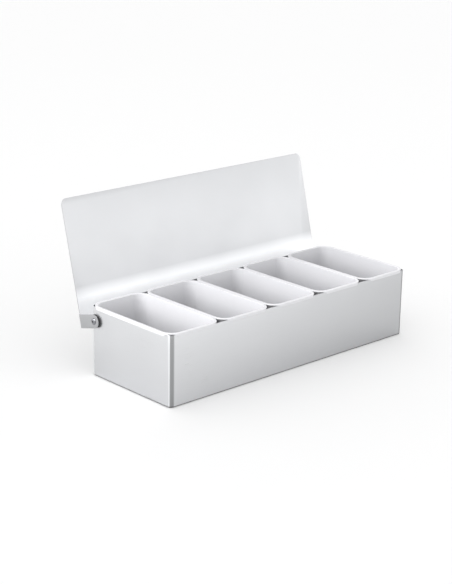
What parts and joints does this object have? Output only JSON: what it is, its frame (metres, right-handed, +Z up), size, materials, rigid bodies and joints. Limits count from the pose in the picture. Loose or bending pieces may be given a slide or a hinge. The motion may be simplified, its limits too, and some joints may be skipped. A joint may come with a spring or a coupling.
{
  "type": "condiment dispenser",
  "caption": "Low brushed steel bar tray with a row of loose white plastic inserts and a sheet lid hinged on two riveted ears.",
  "frame": {"origin": "centre of the housing's underside", "axes": "+X along the row of inserts, to the right as seen from the front; -Y to the front, +Y to the hinge side; +Z up"},
  "size_m": [0.4714, 0.232, 0.239],
  "materials": {
    "housing_steel": "satin stainless sheet, fine grain along the length",
    "lid_steel": "satin stainless sheet",
    "insert_plastic": "moulded white plastic, soft gloss",
    "washer_plastic": "moulded black plastic",
    "rivet_steel": "smooth drawn steel",
    "mandrel_steel": "dull snapped steel wire"
  },
  "bodies": {
    "housing": {"housing": "housing_steel", "insert_1": "insert_plastic", "insert_2": "insert_plastic", "insert_3": "insert_plastic", "insert_4": "insert_plastic", "insert_5": "insert_plastic", "left_pivot_washer": "washer_plastic", "right_pivot_washer": "washer_plastic", "left_pivot_rivet": "rivet_steel", "right_pivot_rivet": "rivet_steel", "left_rivet_mandrel": "mandrel_steel", "right_rivet_mandrel": "mandrel_steel"},
    "lid": {"lid": "lid_steel"}
  },
  "joints": [
    {"name": "lid_hinge", "type": "hinge", "parent": "housing", "child": "lid", "pos_m": [0, 0.0735, 0.081], "axis": [1, 0, 0], "range_deg": [0, 107.61]}
  ]
}
